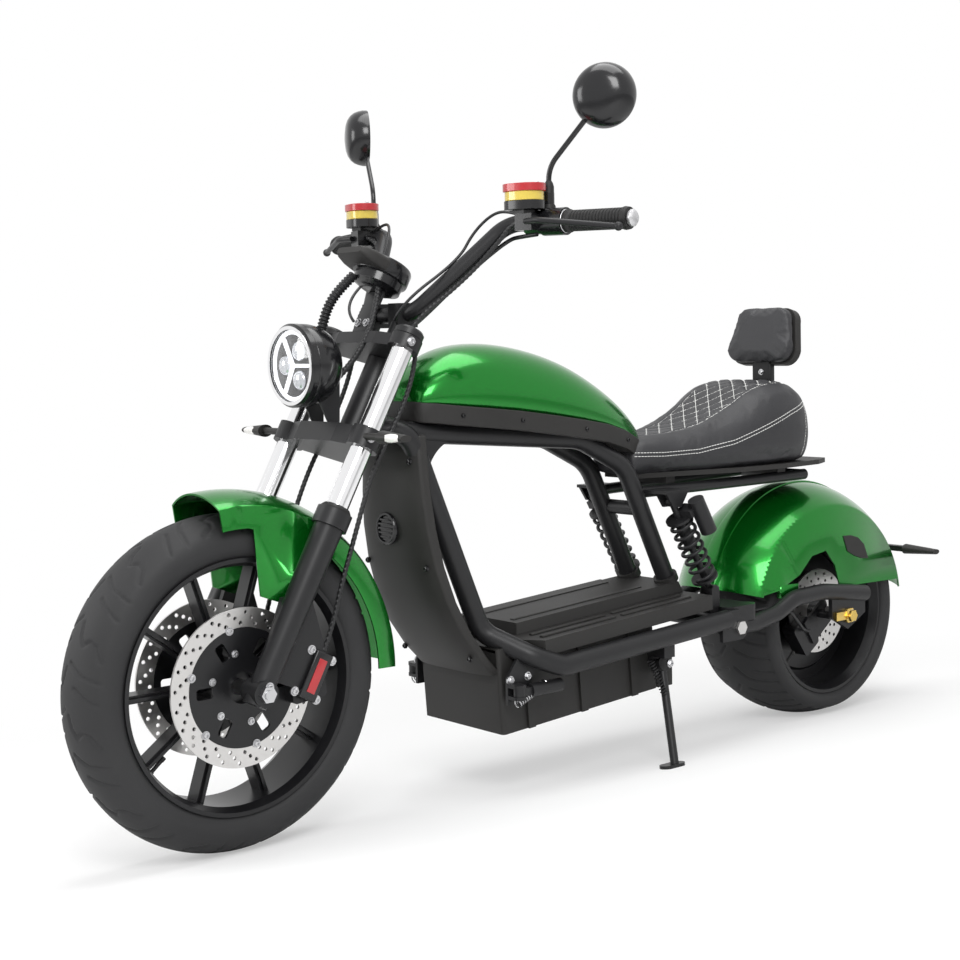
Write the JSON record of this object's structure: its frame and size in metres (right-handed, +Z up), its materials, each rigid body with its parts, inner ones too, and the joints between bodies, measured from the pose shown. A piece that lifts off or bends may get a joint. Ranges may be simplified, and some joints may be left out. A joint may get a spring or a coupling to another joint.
{
  "type": "electric chopper scooter",
  "caption": "Low electric chopper scooter with fat tyres, a step-through deck over its battery box, swept bars, twin rear shocks and a seat with a backrest, leaning on its side stand.",
  "frame": {"origin": "middle of the bounding box at ground height, with both tyres and the stand foot on Z = 0", "axes": "+X forward along the scooter, +Y to its left, +Z up; the scooter leans 6 degrees to its left"},
  "size_m": [1.9848, 0.8345, 1.2998],
  "materials": {
    "bright_steel": "brushed",
    "cast_black": "gloss black",
    "chrome": "polished",
    "frame_black": "satin black",
    "gloss": "gloss black",
    "green": "metallic green gloss",
    "lens": "clear",
    "plastic": "grained",
    "red_lens": "red",
    "rubber": "matt",
    "seat": "black, stitched",
    "silver": "satin",
    "smoked": "smoked",
    "tyre": "matt black rubber"
  },
  "bodies": {
    "front_wheel": {"front_tyre": "tyre", "front_rim": "cast_black", "front_discs": "bright_steel", "front_disc_carriers": "cast_black"},
    "rear_wheel": {"rear_tyre": "tyre", "rear_rim": "cast_black", "rear_disc": "bright_steel"},
    "fork": {"front_axle": "bright_steel", "fork_lowers": "frame_black", "stanchions": "chrome", "fork_clamps": "frame_black", "front_calipers": "cast_black", "front_fender": "green", "front_indicators": "smoked", "headlight": "gloss", "headlight_ring": "chrome", "headlight_lens": "lens", "handlebar": "frame_black", "grips": "rubber", "controls": "gloss", "levers": "frame_black", "mirrors": "gloss", "dash": "gloss"},
    "side_stand": {"side_stand": "frame_black"},
    "left_peg": {"left_peg": "frame_black"},
    "right_peg": {"right_peg": "frame_black"},
    "chassis": {"head_tube": "frame_black", "top_rails": "frame_black", "rear_uprights": "frame_black", "down_tubes": "frame_black", "deck_rails": "frame_black", "frame_crosses": "frame_black", "frame_gussets": "frame_black", "seat_rails": "frame_black", "pivot_plates": "frame_black", "pivot_bolt": "bright_steel", "tank_cover": "green", "tank_trim": "plastic", "leg_shield": "plastic", "horn": "gloss", "battery_box": "plastic", "battery": "plastic", "controller_box": "plastic", "deck_board": "plastic", "deck_cover": "plastic", "seat_base": "plastic", "seat_pad": "seat", "backrest_strut": "frame_black", "backrest_pad": "seat", "swingarm": "frame_black", "shocks": "frame_black", "shock_springs": "frame_black", "rear_axle": "bright_steel", "rear_caliper": "silver", "rear_fender": "green", "tail_bracket": "frame_black", "tail_light": "red_lens", "rear_indicators": "smoked", "peg_brackets": "frame_black", "stand_bracket": "frame_black"}
  },
  "joints": [
    {"name": "steering", "type": "hinge", "parent": "chassis", "child": "fork", "pos_m": [0.41601, -0.02893, 0.72086], "axis": [-0.4894, 0.0912, 0.8673], "range_deg": [-35, 35]},
    {"name": "front_wheel_spin", "type": "hinge", "parent": "fork", "child": "front_wheel", "pos_m": [0.71495, -0.07565, 0.27643], "axis": [0, 0.9945, -0.1045], "continuous": true},
    {"name": "rear_wheel_spin", "type": "hinge", "parent": "chassis", "child": "rear_wheel", "pos_m": [-0.71505, -0.08096, 0.22586], "axis": [0, 0.9945, -0.1045], "continuous": true},
    {"name": "side_stand_fold", "type": "hinge", "parent": "chassis", "child": "side_stand", "pos_m": [-0.15905, 0.05345, 0.18448], "axis": [0, 0.974, 0.2268], "range_deg": [0, 92]},
    {"name": "left_peg_fold", "type": "hinge", "parent": "chassis", "child": "left_peg", "pos_m": [0.20995, 0.068, 0.18898], "axis": [0, -0.1045, -0.9945], "range_deg": [0, 90]},
    {"name": "right_peg_fold", "type": "hinge", "parent": "chassis", "child": "right_peg", "pos_m": [0.20995, -0.23433, 0.22076], "axis": [0, 0.1045, 0.9945], "range_deg": [0, 90]}
  ]
}
